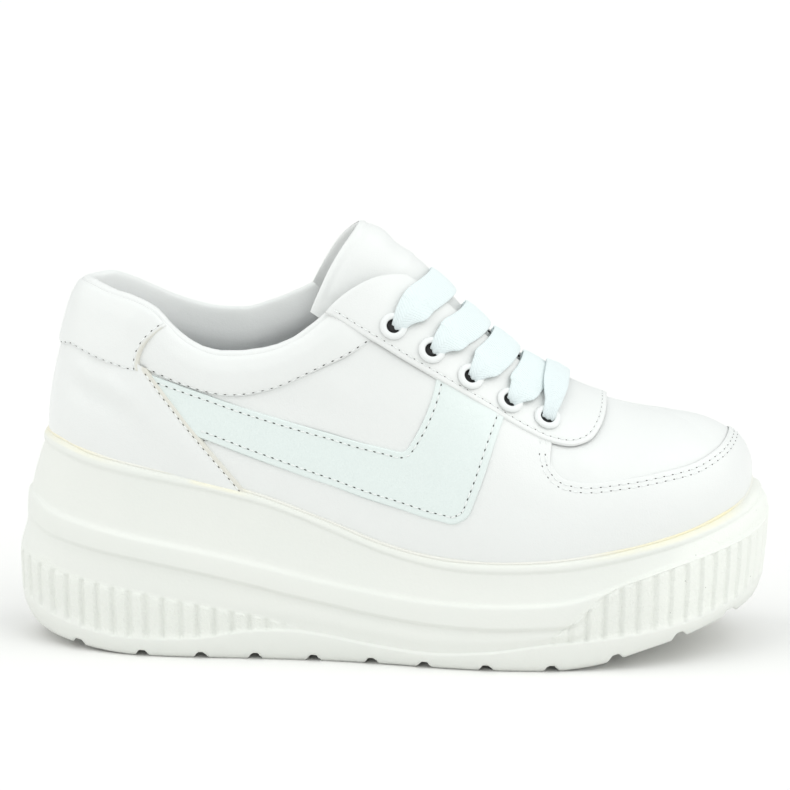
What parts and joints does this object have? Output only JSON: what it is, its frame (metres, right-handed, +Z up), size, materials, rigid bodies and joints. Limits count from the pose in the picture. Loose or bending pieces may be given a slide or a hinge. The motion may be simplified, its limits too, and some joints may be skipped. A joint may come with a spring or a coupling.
{
  "type": "platform sneaker",
  "caption": "White low platform sneaker with a thick wedge unit sole, padded collar, tongue, eyelet stay and flat laces. A right shoe.",
  "frame": {"origin": "bottom centre of the bounding box, on the walking face of the sole", "axes": "+X from the heel to the toe, +Y to the inner (medial) side of the foot, +Z up"},
  "size_m": [0.275, 0.1022, 0.1542],
  "materials": {
    "sole": "matte moulded foam, warm white",
    "leather": "smooth white coated leather",
    "lining": "soft light grey-white lining",
    "lace": "flat woven white lace",
    "eyelet": "white paint"
  },
  "bodies": {
    "root": {"sole": "sole", "insole": "lining", "upper": "leather", "eyelet_stay": "leather", "tongue": "leather", "eyelet_lateral_1": "eyelet", "eyelet_medial_1": "eyelet", "eyelet_lateral_2": "eyelet", "eyelet_medial_2": "eyelet", "eyelet_lateral_3": "eyelet", "eyelet_medial_3": "eyelet", "eyelet_lateral_4": "eyelet", "eyelet_medial_4": "eyelet", "eyelet_lateral_5": "eyelet", "eyelet_medial_5": "eyelet", "lace_bar": "lace", "lace_crossing_1": "lace", "lace_crossing_2": "lace", "lace_crossing_3": "lace", "lace_crossing_4": "lace"}
  },
  "joints": []
}
